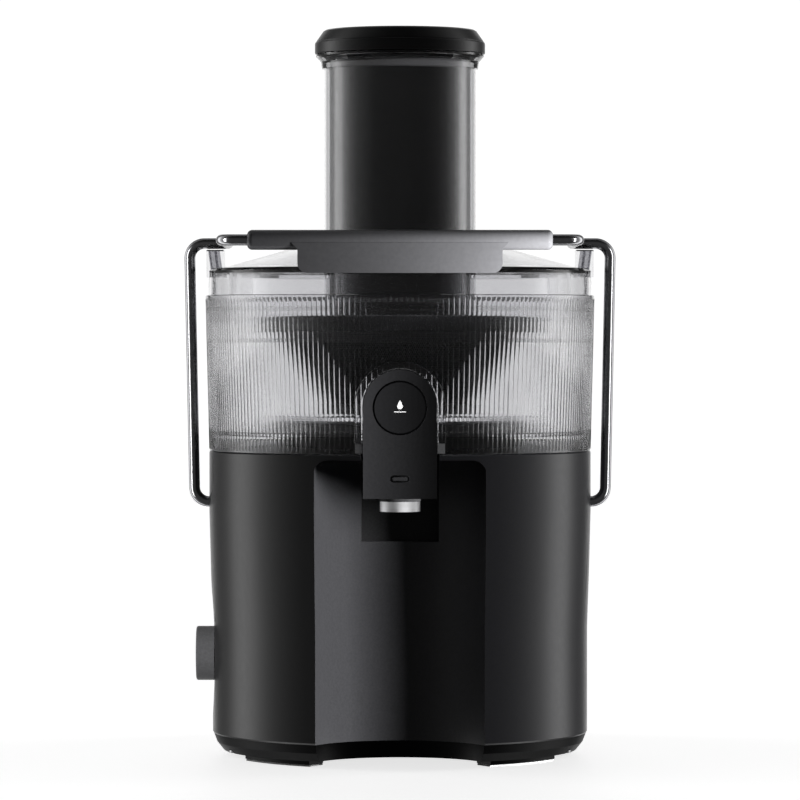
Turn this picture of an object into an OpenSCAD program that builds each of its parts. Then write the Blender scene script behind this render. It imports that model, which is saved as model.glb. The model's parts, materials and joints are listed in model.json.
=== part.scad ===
// Centrifugal juicer: round motor housing with a jug bay, clear juice bowl with a
// drip-stop spout, clear lid with a wide feed chute, wire bail, side speed knob and
// a pulp container at the back. Heights are above the table; the drive axis stands
// axis_y behind the middle of the footprint.

/* [Housing] */
// Outer radius of the motor housing at its top edge
body_r = 104.8; // [104:0.2:106]
// Height of the housing's top edge
body_top = 167.4; // [167:0.1:167.6]
// Wall thickness of the moulded housing
wall = 3; // [2.4:0.2:3.2]
// Height of the split line between base tray and housing
split_z = 12.4; // [12:0.2:13]
// Distance from the drive axis to the flat rear wall
rear_flat = 62; // [60:0.5:62.5]
// Distance from the drive axis to the rear edge of the shelf
shelf_rear = 150; // [148:0.5:152]

/* [Jug bay] */
// Radius of the jug bay
bay_r = 47.5; // [46:0.5:48]
// Distance from the drive axis forward to the bay's centre line
bay_c = 107.5; // [107:0.5:109]
// Height of the bay's ceiling
bay_top = 164.2; // [163.8:0.1:164.4]

/* [Bowl and lid] */
// Outer radius of the bowl at its rim
bowl_top_r = 106.9; // [106.5:0.1:107.5]
// Height of the bowl's rim
bowl_top = 252.3; // [251.5:0.2:252.5]
// Half width of the pulp duct behind the bowl
duct_x = 96.2; // [95.5:0.1:96.4]
// Distance from the drive axis to the rear of the duct
duct_rear = 152; // [150:0.5:152]
// Height of the lid's dome at the feed chute
dome_top = 283; // [282:0.5:284]

/* [Feed chute and pusher] */
// Outer radius of the feed chute
chute_r = 41.6; // [41.4:0.1:41.8]
// Inner radius of the feed chute
chute_in = 39.3; // [39.1:0.1:39.4]
// Outer radius of the pusher
pusher_r = 38.8; // [38.4:0.1:38.8]
// Height of the pusher cap's top
cap_top = 398; // [397:0.5:400]

/* [Spout] */
// Distance from the drive axis to the spout's front face
spout_front = 118; // [117.6:0.1:118]
// Half width of the spout housing
spout_w = 19.4; // [19.2:0.1:19.6]
// Height of the button's centre
button_z = 192.3; // [192:0.1:192.6]
// Radius of the drip-stop button
button_r = 13.4; // [13:0.2:13.6]

/* [Bail] */
// Diameter of the bail's wire
wire_d = 6; // [5.8:0.1:6]
// Height of the bail's pivots
pivot_z = 139; // [138.8:0.1:139.2]
// Distance from the drive axis forward to the grip
grip_y = 109; // [109:0.1:109.4]
// Height of the grip's centre
grip_z = 280.8; // [280.8:0.1:281.2]
// Diameter of the grip
grip_d = 10.6; // [10:0.1:10.8]

/* [Knob] */
// Radius of the speed knob
knob_r = 14.9; // [14:0.1:15]
// Height of the knob's centre
knob_z = 55.6; // [55:0.1:56]

/* [Motor] */
// Radius of the motor shaft
shaft_r = 4; // [3.9:0.1:4]
// Outer radius of the stator core
stator_r = 45; // [44:0.5:45]
// Bottom of the stator core
core_z0 = 54; // [54:0.5:55]
// Height of the stator core
core_h = 38; // [36:0.5:38]

/* [Hidden] */
$fn = 96;
bin_lip = 163;
axis_y = (spout_front - bin_lip) / 2;
wr = wire_d / 2;
slope = 0.277;

// everything is drawn about the drive axis and then moved back as one
module place() translate([0, axis_y, 0]) children();
module ring(r1, r2, z0, z1) difference() {
  translate([0, 0, z0]) cylinder(r = r2, h = z1 - z0);
  translate([0, 0, z0 - 1]) cylinder(r = r1, h = z1 - z0 + 2);
}
// flat shape of everything that stands out behind the drive axis
module rear_plan(x, y0, y1, r) {
  translate([-x, y0]) square([2 * x, y1 - r - y0]);
  translate([-x + r, y0]) square([2 * (x - r), y1 - y0]);
  for (s = [-1, 1]) translate([s * (x - r), y1 - r]) circle(r);
}
module rear_block(x, y0, y1, r, z0, z1)
  translate([0, 0, z0]) linear_extrude(z1 - z0) rear_plan(x, y0, y1, r);
module bay_cut(r, z0, z1) translate([0, -bay_c, z0]) cylinder(r = r, h = z1 - z0);
module quarter_torus(rc, r) rotate_extrude(angle = 90) translate([rc, 0]) circle(r, $fn = 48);

// housing profile: radius against height
function body_rad(z) = body_r - 1.9 + (z < 70 ? 0 : z < 134 ? 1.9 * (z - 70) / 64 : 1.9);
module body_profile(d, z0, z1) polygon([[0, z0], [body_rad(z0) - d, z0], [body_rad(70) - d, 70],
  [body_rad(100) - d + 0.1, 100], [body_rad(134) - d, 134], [body_rad(160) - d, z1], [0, z1]]);

module motor_housing() color([0.055, 0.055, 0.06]) place() difference() {
  union() {
    difference() {
      rotate_extrude() polygon([[0, split_z], [body_r - 2.6, split_z], [body_r - 1.9, split_z + 1],
        [body_rad(70), 70], [body_rad(100) + 0.1, 100], [body_r, 134], [body_r, body_top - 0.9],
        [body_r - 0.9, body_top], [0, body_top]]);
      translate([-120, rear_flat, 0]) cube([240, 80, 200]);
      // jug bay with rounded top corners
      intersection() {
        bay_cut(bay_r, 0, 200);
        rotate([90, 0, 0]) translate([0, 0, 40]) linear_extrude(120) {
          translate([-46, 0]) square([92, bay_top - 8]);
          translate([-38, 0]) square([76, bay_top]);
          for (s = [-1, 1]) translate([s * 38, bay_top - 8]) circle(8);
        }
      }
      // hollow inside
      difference() {
        union() {
          rotate_extrude() body_profile(wall, 0, 160);
          translate([0, 0, 159]) cylinder(r = 94, h = 6);
          translate([0, 0, 163.4]) cylinder(r = 98, h = 10);
        }
        translate([-120, rear_flat - wall, -1]) cube([240, 80, 200]);
        bay_cut(bay_r + wall, -1, 163.4);
        intersection() { bay_cut(bay_r + wall, 160, 166.4); translate([-60, -120, 160]) cube([120, 80, 20]); }
        translate([-23.8, -120, 116.5]) cube([47.6, 69, 49.9]);
        // thick pad behind the knob's dish
        translate([-110, -24, 16]) cube([14, 48, 78]);
        // screw posts
        for (a = [200, 340, 150, 30]) rotate(a) translate([95, 0, 6.3]) cylinder(r = 5, h = 34);
        // bosses round the bail pivots
        for (s = [-1, 1]) translate([s * 94.2, 0, pivot_z]) rotate([0, s * 90, 0]) cylinder(r = 10, h = 10);
      }
      // deck recess above the solid ledge
      difference() {
        translate([0, 0, 166.4]) cylinder(r = 98, h = 10);
        translate([-120, rear_flat - wall, 160]) cube([240, 80, 40]);
      }
    }
    // rear shelf
    difference() {
      rear_block(86, 40, shelf_rear, 34, split_z, 20);
      rear_block(86 - wall, 30, shelf_rear - wall, 31, split_z - 1, 17);
      translate([0, 0, 0]) cylinder(r = body_r - 1.9 - wall, h = 17);
      translate([-120, 0, 0]) cube([240, rear_flat - 1.5, 40]);
    }
    // screw posts under the shelf
    for (s = [-1, 1]) translate([s * 60, 138, split_z - 6]) cylinder(r = 4.6, h = 24 - split_z);
  }
  // recess that the bowl's spout drops into
  translate([-20.8, -125, 119.5]) cube([41.6, 71, 80]);
  // dish round the knob
  translate([-(body_r - 4.3) - 256, 0, knob_z]) sphere(r = 256, $fn = 200);
  translate([-104, 0, knob_z]) rotate([0, 90, 0]) cylinder(r = 3.05, h = 12);
  for (s = [-1, 1]) translate([s * 90, 0, pivot_z]) rotate([0, s * 90, 0]) cylinder(r = 6.02, h = 20);
  for (a = [200, 340, 150, 30]) rotate(a) translate([95, 0, 5]) cylinder(r = 1.75, h = 21);
  for (s = [-1, 1]) translate([s * 60, 138, 4]) cylinder(r = 1.75, h = 12);
  translate([0, 140, split_z]) rotate([-90, 0, 0]) cylinder(r = 6.02, h = 20);
}

module base_tray() color([0.02, 0.02, 0.022]) place() {
  difference() {
    union() {
      difference() {
        rotate_extrude() polygon([[0, 3.3], [body_r - 7.8, 3.3], [body_r - 4.2, 7.8],
          [body_r - 2.5, split_z], [0, split_z]]);
        translate([-120, rear_flat, 0]) cube([240, 80, 40]);
      }
      rear_block(84.5, 40, shelf_rear - 1.5, 32.5, 3.3, 5.2);
      rear_block(86, 40, shelf_rear, 34, 5.2, split_z);
    }
    bay_cut(bay_r, 0, 30);
    difference() {
      union() {
        translate([0, 0, 6.3]) cylinder(r = body_r - 7, h = 20);
        rear_block(82.6, 40, shelf_rear - 3.4, 30.6, 6.3, 30);
      }
      bay_cut(bay_r + wall, 0, 30);
    }
    // air slots
    for (x = [-45:10:45]) translate([x - 1.5, -18, 0]) cube([3, 50, 10]);
    for (a = [200, 340, 150, 30]) rotate(a) translate([95, 0, 0]) {
      cylinder(r = 1.9, h = 8);
      cylinder(r = 3.9, h = 4.9);
    }
    for (s = [-1, 1]) translate([s * 60, 138, 0]) { cylinder(r = 1.9, h = 8); cylinder(r = 3.9, h = 4.9); }
    translate([0, 140, split_z]) rotate([-90, 0, 0]) cylinder(r = 6.02, h = 20);
  }
  feet(1.1, 3.9, 0);
}

// four feet: two arcs in front beside the jug bay and two discs at the back
module feet(z0, z1, d) {
  for (s = [0, 1]) mirror([s, 0, 0]) rotate(-90 + 31) translate([0, 0, z0])
    rotate_extrude(angle = 32) translate([80 + d, 0]) square([14 - 2 * d, z1 - z0]);
  for (s = [-1, 1]) translate([s * 62, 118, z0]) cylinder(r = 9 - d, h = z1 - z0);
}
module foot_pads() color([0.55, 0.55, 0.57]) place() feet(0, 1.1, 0.6);

module housing_screws() color("silver") place() {
  for (a = [200, 340, 150, 30]) rotate(a) translate([95, 0, 0]) screw(24);
  for (s = [-1, 1]) translate([s * 60, 138, 0]) screw(15);
}
module screw(top) {
  difference() {
    translate([0, 0, 3.5]) cylinder(r = 3.6, h = 1.4);
    translate([-2.4, -0.5, 3.4]) cube([4.8, 1, 0.8]);
    translate([-0.5, -2.4, 3.4]) cube([1, 4.8, 0.8]);
  }
  translate([0, 0, 4.9]) cylinder(r = 1.7, h = top - 4.9);
}

module top_deck() color([0.02, 0.02, 0.022]) place() difference() {
  union() {
    rotate_extrude() polygon([[63, 163.4], [97.7, 163.4], [97.7, 166.4], [66, 166.4], [66, 181.5],
      [64.5, 183], [15.5, 183], [15.5, 184], [11.2, 184], [11.2, 173], [15.5, 173], [15.5, 180], [63, 180]]);
    for (a = [45:90:315]) rotate(a) translate([50, 0, 125]) cylinder(r = 6, h = 56);
  }
  translate([-120, rear_flat - wall - 0.3, 150]) cube([240, 80, body_top - 149.9]);
  intersection() { bay_cut(bay_r + wall + 0.3, 150, 166.4); translate([-60, -120, 150]) cube([120, 80, 16.4]); }
  translate([-24.1, -120, 150]) cube([48.2, 69.3, 16.4]);
  for (a = [45:90:315]) rotate(a) translate([50, 0, 124]) cylinder(r = 2, h = 20);
}

module pivot_bushes() color([0.03, 0.03, 0.03]) place() for (s = [-1, 1])
  translate([s * 98, 0, pivot_z]) rotate([0, s * 90, 0]) difference() {
    cylinder(r = 6, h = 6.4);
    translate([0, 0, -1]) cylinder(r = wr + 0.05, h = 10);
  }

module rotary_switch() color([0.1, 0.12, 0.16]) place() difference() {
  translate([-92, -13, knob_z - 13]) cube([20, 26, 26]);
  translate([-93, 0, knob_z]) rotate([0, 90, 0]) cylinder(r = 3.4, h = 9);
}
module control_board() color([0.05, 0.3, 0.14]) place() difference() {
  translate([-71.9, -32, 26]) cube([1.6, 64, 66]);
  for (y = [-27, 27], z = [31, 87]) translate([-75, y, z]) rotate([0, 90, 0]) cylinder(r = 1.6, h = 8);
}
module suppression_capacitor() color([0.75, 0.6, 0.1]) place() translate([-70.2, 8, 68]) cube([11, 18, 16]);
module heat_sink() color([0.75, 0.76, 0.78]) place() {
  translate([-70.2, -26, 34]) cube([2, 22, 26]);
  for (y = [-26:4:-6]) translate([-68.2, y, 34]) cube([8, 1.6, 26]);
}
module interlock_switch() color([0.08, 0.08, 0.08]) place() {
  translate([78, -10, 116]) cube([7, 20, 12]);
  translate([80, -8, 128.1]) rotate([12, 0, 0]) cube([3, 15, 0.5]);
}

module upper_bracket() color("silver") place() difference() {
  union() {
    for (a = [45, 135]) rotate(a) translate([-57, -8, 116]) cube([114, 16, 3]);
    translate([-54, -8, 116]) cube([108, 16, 3]);
    translate([0, 0, 113]) cylinder(r = 11, h = 10);
    translate([0, 0, 116]) cylinder(r = 30, h = 3);
  }
  translate([0, 0, 110]) cylinder(r = 7, h = 20);
  for (a = [45:90:315]) rotate(a) translate([50, 0, 110]) cylinder(r = 2, h = 20);
  for (x = [-49, 49]) translate([x, 0, 110]) cylinder(r = 2.05, h = 20);
}
module lower_bracket() color("silver") place() difference() {
  union() {
    translate([-54, -8, 24]) cube([108, 16, 3]);
    translate([-12, -40, 24]) cube([24, 80, 3]);
    translate([0, 0, 20]) cylinder(r = 11, h = 10);
  }
  translate([0, 0, 18]) cylinder(r = 7, h = 20);
  for (x = [-49, 49]) translate([x, 0, 18]) cylinder(r = 2.05, h = 20);
}
module bush(z) color([0.6, 0.42, 0.2]) place() ring(shaft_r + 0.05, 7, z, z + 10);
module upper_bush() bush(113);
module lower_bush() bush(20);

module stator_core() color([0.45, 0.45, 0.47]) place() translate([0, 0, core_z0]) linear_extrude(core_h) difference() {
  circle(stator_r);
  circle(24.8);
  // winding slots either side of the two poles
  for (a = [52, 128, 232, 308]) rotate(a) translate([24, -3.5]) square([14, 7]);
}
// end turns of the two field coils, above and below the core
module field_windings() color([0.72, 0.4, 0.16]) place()
  for (a = [50, 230], z = [core_z0 - 9, core_z0 + core_h + 0.5]) rotate(a) translate([0, 0, z])
    rotate_extrude(angle = 80) translate([27, 0]) square([14, 8.5]);

module brush_holders() color([0.5, 0.38, 0.15]) place() for (s = [0, 1]) mirror([0, s, 0]) difference() {
  union() {
    translate([-5.5, 14, 31.5]) cube([11, 24, 12]);
    translate([-4, 30, 27]) cube([8, 8, 4.6]);
  }
  translate([-3.05, 12, 34]) cube([6.1, 24, 7]);
}
module carbon_brushes() color([0.1, 0.1, 0.1]) place() for (s = [-1, 1])
  translate([-3, s > 0 ? 12.3 : -24.3, 34.1]) cube([6, 12, 6.8]);
module brush_springs() color("silver") place() for (s = [-1, 1])
  for (i = [0:4]) translate([0, s * (25.5 + i * 2.1), 37.5]) rotate([90, 0, 0])
    rotate_extrude() translate([2.2, 0]) circle(0.45, $fn = 16);
module motor_dampers() color([0.06, 0.06, 0.06]) place() for (a = [45:90:315]) rotate(a) translate([50, 0, 0]) ring(2.2, 7, 119, 125);
module motor_bolts() color("silver") place() {
  for (x = [-49, 49]) translate([x, 0, 0]) {
    translate([0, 0, 20]) cylinder(r = 3.8, h = 4, $fn = 6);
    translate([0, 0, 24]) cylinder(r = 2, h = 95);
    translate([0, 0, 119]) cylinder(r = 3.8, h = 3.2, $fn = 6);
  }
  for (a = [45:90:315]) rotate(a) translate([50, 0, 0]) {
    translate([0, 0, 113]) cylinder(r = 3.6, h = 3);
    translate([0, 0, 116]) cylinder(r = 1.9, h = 26);
  }
}
module cord_gland() color([0.03, 0.03, 0.03]) place() translate([0, 0, split_z]) rotate([-90, 0, 0]) difference() {
  union() {
    translate([0, 0, 143]) cylinder(r = 6, h = 8);
    translate([0, 0, 143]) cylinder(r = 4.6, h = 15.5);
    translate([0, 0, shelf_rear]) cylinder(r = 6.9, h = 2);
  }
  translate([0, 0, 140]) cylinder(r = 3.6, h = 22);
}
module shaft_seal() color([0.08, 0.08, 0.08]) place() ring(shaft_r + 0.06, 11.1, 175, 182.5);

// bowl: outer radius against height
function bowl_rad(z) = body_r + (bowl_top_r - body_r) * (z - body_top) / (bowl_top - body_top);
module bowl_outer(d, z0, z1) rotate_extrude() polygon([[0, z0], [bowl_rad(z0) + d, z0], [bowl_rad(z1) + d, z1], [0, z1]]);
module arch(r, z0) {
  translate([-r, z0]) square([2 * r, 192.8 - z0]);
  translate([0, 192.8]) circle(r);
}
module arch_block(r, z0, y0, y1) rotate([90, 0, 0]) translate([0, 0, y0]) linear_extrude(y1 - y0) arch(r, z0);

module collector_bowl() color([0.85, 0.87, 0.9, 0.35]) place() difference() {
  union() {
    rotate_extrude() polygon([[body_r, body_top], [bowl_top_r, bowl_top], [bowl_top_r - 2.5, bowl_top],
      [bowl_rad(178.5) - 2.4, 178.5], [71.4, 178.5], [71.4, 186.5], [30.4, 186.5], [30.4, 189],
      [28, 189], [28, 184.2], [69, 184.2], [69, 176], [bowl_rad(176) - 2.4, 176], [bowl_rad(body_top) - 2.4, body_top]]);
    // pulp duct
    difference() {
      rear_block(duct_x, 40, duct_rear, 38, 165, bowl_top);
      rear_block(duct_x - 2.4, 30, duct_rear - 2.4, 35.6, 160, bowl_top + 5);
      bowl_outer(-1, 160, bowl_top + 1);
      translate([0, 0, 160]) cylinder(r = body_r + 0.1, h = body_top - 160);
    }
    // raised collar round the spout
    difference() {
      arch_block(24.3, 173.5, 101, 109.5);
      arch_block(19.9, 160, 100, 112);
      bowl_outer(-1.2, 160, bowl_top + 1);
    }
  }
  // the bowl's wall is low between bowl and duct, so that pulp passes over it
  intersection() {
    translate([-duct_x + 2.4, 0, 226]) cube([2 * duct_x - 4.8, 120, 40]);
    difference() { bowl_outer(3, 225, 262); bowl_outer(-6, 220, 268); }
  }
  // juice outlet
  translate([0, -95, 184.5]) rotate([90, 0, 0]) cylinder(r = 5.4, h = 20);
}

module spout_housing() color([0.05, 0.05, 0.055]) place() difference() {
  union() {
    difference() {
      arch_block(spout_w, 144.4, 100, spout_front);
      bowl_outer(0.05, body_top - 0.4, bowl_top);
    }
    translate([-spout_w, -spout_front, 144.4]) cube([2 * spout_w, spout_front - 86, 22.4]);
  }
  arch_block(17.3, 165, 107.2, 115);
  translate([-17.3, -115, 147.4]) cube([34.6, 26, 16.4]);
  translate([-17.3, -115, 147.4]) cube([34.6, 7.8, 30]);
  translate([-7, -115, 176.5]) cube([14, 20, 15]);
  translate([0, -105, 140]) cylinder(r = 9.2, h = 10);
  translate([0, -114, button_z]) rotate([90, 0, 0]) cylinder(r = button_r + 1, h = 10);
  pill(5.1, 1.9, 116.8, 120);
}
module pill(x, r, y0, y1) translate([0, -y0, 154.9]) rotate([90, 0, 0]) linear_extrude(y1 - y0) {
  square([2 * (x - r), 2 * r], center = true);
  for (s = [-1, 1]) translate([s * (x - r), 0]) circle(r);
}
module status_window() color([0.2, 0.2, 0.21]) place() pill(4.1, 0.9, 116.85, 117.6);
module spout_nozzle() color([0.75, 0.75, 0.76]) place() translate([0, -105, 0]) ring(9.2, 10.7, 137.4, 144.4);
module spout_clips() color([0.4, 0.4, 0.41]) place() difference() {
  for (s = [-1, 1]) translate([s * 21.8 - 2, -108, 168]) cube([4, 8, 5.3]);
  bowl_outer(0.05, 160, 180);
}
module drip_stop_button() color([0.045, 0.045, 0.05]) place() rotate([90, 0, 0]) translate([0, button_z, 0]) {
  translate([0, 0, 113.6]) cylinder(r = button_r, h = 4.2);
  translate([0, 0, 112.4]) cylinder(r = 16, h = 1.2);
}
module valve_plug() color([0.7, 0.7, 0.7]) place() rotate([90, 0, 0]) translate([0, 184.5, 0]) {
  translate([0, 0, 110.4]) cylinder(r = 2.5, h = 2);
  translate([0, 0, 109.2]) cylinder(r = 6.2, h = 1.2);
  translate([0, 0, 108.3]) cylinder(r = 5, h = 0.9);
}
// coil of round wire along -Y, as one swept tube
function coil_pt(i, n, t, r, y0, y1) = [r * cos(360 * t * i / n), y0 + (y1 - y0) * i / n, r * sin(360 * t * i / n)];
module coil(r, w, t, y0, y1) {
  n = t * 14;
  k = 6;
  pts = [for (i = [0:n]) let (c = coil_pt(i, n, t, r, y0, y1), a = 360 * t * i / n)
    for (j = [0:k - 1]) c + w * cos(360 * j / k) * [cos(a), 0, sin(a)] + w * sin(360 * j / k) * [0, 1, 0]];
  faces = concat([[for (j = [0:k - 1]) j]], [[for (j = [k - 1:-1:0]) n * k + j]],
    [for (i = [0:n - 1], j = [0:k - 1]) [i * k + j, (i + 1) * k + j, (i + 1) * k + (j + 1) % k, i * k + (j + 1) % k]]);
  polyhedron(pts, faces);
}
module button_springs() color("silver") place() for (x = [-12.5, 12.5])
  translate([x, 0, button_z]) coil(2.1, 0.3, 2, -111.9, -107.7);

module lid_cover() color([0.85, 0.87, 0.9, 0.3]) place() {
  difference() {
    union() {
      rotate_extrude() polygon([[chute_r + 0.1, dome_top], [95, dome_top - 14.8], [103.8, 267], [105.2, 265.6],
        [105.2, bowl_top + 0.1], [103.6, bowl_top + 0.1], [103.6, 238], [101.6, 238], [101.6, 264.2], [95, dome_top - 17.3],
        [chute_r + 0.1, dome_top - 2.6]]);
      // rear hood over the pulp duct
      difference() {
        rear_block(duct_x, 20, duct_rear, 38, bowl_top + 0.1, 265);
        rear_block(duct_x - 2.4, 10, duct_rear - 2.4, 35.6, 250, 262.6);
        translate([0, 0, 240]) cylinder(r = 103, h = 30);
      }
      // lugs that the bail's wire rides over
      for (s = [-1, 1]) intersection() {
        translate([s * 101.2 - 4.7, -14, 262]) cube([9.4, 28, 20]);
        translate([s * 101.2 - 10, 0, pivot_z]) rotate([0, 90, 0]) cylinder(r = grip_z - pivot_z - wr - 0.4, h = 20);
      }
    }
    // window for the pulp
    intersection() {
      translate([-duct_x + 2.4, 0, 230]) cube([2 * duct_x - 4.8, 120, 32.6]);
      ring(99, 107, 230, 262.6);
    }
  }
}
module feed_chute() color([0.6, 0.62, 0.65, 0.4]) place() rotate_extrude() polygon([[chute_in, 199.4], [40.4, 199.4],
  [chute_r, 206], [chute_r, 376.4], [42.9, 376.5], [43.5, 380.4], [46.2, 383.2], [46.2, 384.4], [42, 384.4], [chute_in, 380.5]]);
module lid_seal() color([0.75, 0.75, 0.75]) place() rotate_extrude() polygon([[103.62, 243.6], [104.16, 244.4], [104.16, 245.4], [103.62, 246.2]]);
module pulp_guide() color([0.85, 0.87, 0.9, 0.3]) place() difference() {
  union() {
    rotate_extrude() polygon([[77.5, 226.5], [94, 226.5], [94, 265.7], [91.8, 266.2], [91.8, 228.7], [77.5, 228.7]]);
    intersection() {
      ring(90, 103.2, 226.5, 228.7);
      translate([-93, 44, 220]) cube([186, 70, 20]);
    }
  }
  intersection() {
    translate([-84, 35, 228.7]) cube([168, 80, 36]);
    ring(91, 95, 228.7, 262);
  }
}

module motor_shaft() color("silver") place() {
  translate([0, 0, 18]) cylinder(r = shaft_r, h = 166.3);
  translate([0, 0, 184.3]) cylinder(r = shaft_r, h = 4.2);
}
module armature_core() color([0.42, 0.42, 0.44]) place() translate([0, 0, core_z0]) linear_extrude(core_h) difference() {
  circle(24);
  circle(shaft_r + 0.02);
  for (a = [0:30:330]) rotate(a) translate([17, -1.4]) square([8, 2.8]);
}
module armature_windings() color([0.72, 0.4, 0.16]) place() {
  ring(shaft_r + 0.5, 19.5, core_z0 - 7.5, core_z0 - 0.05);
  ring(shaft_r + 0.5, 19.5, core_z0 + core_h + 0.05, core_z0 + core_h + 8);
}
module commutator() color([0.72, 0.45, 0.2]) place() difference() {
  ring(shaft_r + 0.02, 12, 31, 44.5);
  for (a = [0:15:345]) rotate(a) translate([10.8, -0.35, 30]) cube([3, 0.7, 16]);
}
module cooling_fan() color([0.1, 0.1, 0.11]) place() {
  ring(shaft_r + 0.02, 9, 102, 111);
  ring(8.9, 40, 102, 103.6);
  for (a = [0:30:330]) rotate(a) translate([8.4, -0.8, 103.4]) cube([31, 1.6, 7.6]);
}
module drive_coupling() color([0.06, 0.06, 0.06]) place() difference() {
  union() {
    translate([0, 0, 184.5]) cylinder(r = 8.6, h = 5);
    for (a = [0:60:300]) rotate(a) translate([8.3, 0, 184.5]) cylinder(r = 2.4, h = 5);
  }
  translate([0, 0, 180]) cylinder(r = shaft_r + 0.02, h = 8.6);
}
module basket_hub() color([0.03, 0.03, 0.032]) place() rotate_extrude() polygon([[0, 190.2], [11.6, 190.2], [11.6, 187.2],
  [15, 187.2], [15, 190.2], [33, 190.2], [33, 188], [35.4, 188], [35.4, 190.2], [40.2, 190.2], [40.2, 192.9], [0, 192.9]]);
module grater_disc() color([0.7, 0.7, 0.72]) place() {
  translate([0, 0, 193]) cylinder(r = 37.9, h = 0.9);
  for (k = [1:3]) for (a = [0:360 / (k * 8):359]) rotate(a + k * 11) translate([k * 11 - 0.8, -0.5, 193.8]) cube([1.6, 1, 1.6]);
}
module filter_mesh() color([0.6, 0.6, 0.62]) place() rotate_extrude() polygon([[38.4, 193], [39.2, 193], [66.9, 232.5], [66.1, 232.5]]);
module basket_rim() color([0.03, 0.03, 0.032]) place() rotate_extrude() polygon([[66, 232.6], [74.4, 232.6], [75, 233.2],
  [75, 241.4], [74.4, 242], [72.4, 242], [72.4, 235.4], [66, 235.4]]);

// one bent wire arm; s = 0 is the right one
module bail_arm(s) mirror([s, 0, 0]) {
  lean = atan((115.5 - 113) / (grip_z - pivot_z - 16));
  len = (grip_z - pivot_z - 16) / cos(lean);
  translate([94, 0, pivot_z]) rotate([0, 90, 0]) cylinder(r = wr, h = 11);
  translate([105, 0, pivot_z + 8]) rotate([90, 0, 0]) rotate([0, 0, -90]) quarter_torus(8, wr);
  translate([113, 0, pivot_z + 8]) sphere(r = wr);
  translate([113, 0, pivot_z + 8]) rotate([0, lean, 0]) cylinder(r = wr, h = len);
  translate([115.5, 0, grip_z - 8]) sphere(r = wr);
  translate([107.5, 0, grip_z - 8]) rotate([90, 0, 0]) quarter_torus(8, wr);
  translate([100.3, 0, grip_z]) rotate([0, 90, 0]) cylinder(r = wr, h = 7.2);
  translate([100.3, -6, grip_z]) rotate([0, 0, 90]) quarter_torus(6, wr);
  translate([94.3, -6, grip_z]) rotate([90, 0, 0]) cylinder(r = wr, h = grip_y - 12);
  translate([88.3, -grip_y + 6, grip_z]) rotate([0, 0, -90]) quarter_torus(6, wr);
  translate([74.5, -grip_y, grip_z]) rotate([0, 90, 0]) cylinder(r = wr, h = 13.8);
}
module bail_arm_left() color([0.25, 0.25, 0.27]) place() bail_arm(1);
module bail_arm_right() color([0.25, 0.25, 0.27]) place() bail_arm(0);
module bail_grip() color([0.12, 0.12, 0.13]) place() translate([0, -grip_y, grip_z]) rotate([0, 90, 0]) difference() {
  rotate_extrude() polygon(concat([[0, -80.6]],
    [for (a = [-90:15:0]) [grip_d / 2 - 2.7 + 2.7 * cos(a), -77.9 + 2.7 * sin(a)]],
    [for (a = [0:15:90]) [grip_d / 2 - 2.7 + 2.7 * cos(a), 77.9 + 2.7 * sin(a)]], [[0, 80.6]]));
  for (s = [0, 1]) mirror([0, 0, s]) translate([0, 0, 74]) cylinder(r = wr + 0.03, h = 10);
}
module bail_plate() color([0.14, 0.14, 0.15]) place() difference() {
  rotate([90, 0, 0]) translate([0, 0, grip_y + grip_d / 2 - 3]) linear_extrude(3) polygon(concat(
    [for (a = [180:15:270]) [5 * cos(a) - 49, 268.3 + 5 * sin(a)]],
    [for (a = [270:15:360]) [5 * cos(a) + 49, 268.3 + 5 * sin(a)]],
    [[54, 275.9], [57.2, 279], [57.2, grip_z - 1.4], [-57.2, grip_z - 1.4], [-57.2, 279], [-54, 275.9]]));
  translate([-90, -grip_y, grip_z]) rotate([0, 90, 0]) cylinder(r = grip_d / 2, h = 180);
}
module bail_collars() color([0.4, 0.4, 0.42]) place() for (s = [-1, 1])
  translate([s * 91.2, 0, pivot_z]) rotate([0, s * 90, 0]) difference() {
    cylinder(r = 5.4, h = 2.6);
    translate([0, 0, -1]) cylinder(r = 2.2, h = 6);
    translate([0, 0, 2.6 - 0.001]) cylinder(r = 3, h = 1);
  }

module pusher_tube() color([0.02, 0.02, 0.022]) place() rotate_extrude() polygon([[0, 200.4], [pusher_r - 1.5, 200.4],
  [pusher_r, 202], [pusher_r, 391.9], [pusher_r - 2.4, 391.9], [pusher_r - 2.4, 203], [0, 203]]);
module pusher_cap() color([0.03, 0.03, 0.033]) place() rotate_extrude() polygon([[0, cap_top], [40.6, cap_top], [42.3, cap_top - 0.8],
  [46.1, 391.4], [46.75, 389], [46.75, 385.4], [46.1, 384.8], [pusher_r + 0.05, 384.8], [pusher_r + 0.05, 392], [0, 392]]);

module speed_knob() color([0.09, 0.09, 0.095]) place() translate([0, 0, knob_z]) rotate([0, -90, 0]) difference() {
  rotate_extrude() polygon([[0, 101.4], [knob_r - 0.4, 101.4], [knob_r, 101.8], [knob_r, 111.2], [knob_r - 0.7, 111.9], [0, 111.9]]);
  translate([0, 0, 100]) cylinder(r = 3.02, h = 8);
  translate([knob_r - 9, -0.6, 111.4]) cube([8, 1.2, 2]);
}
module knob_spindle() color("silver") place() translate([0, 0, knob_z]) rotate([0, -90, 0]) translate([0, 0, 85]) cylinder(r = 3, h = 22.9);

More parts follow.
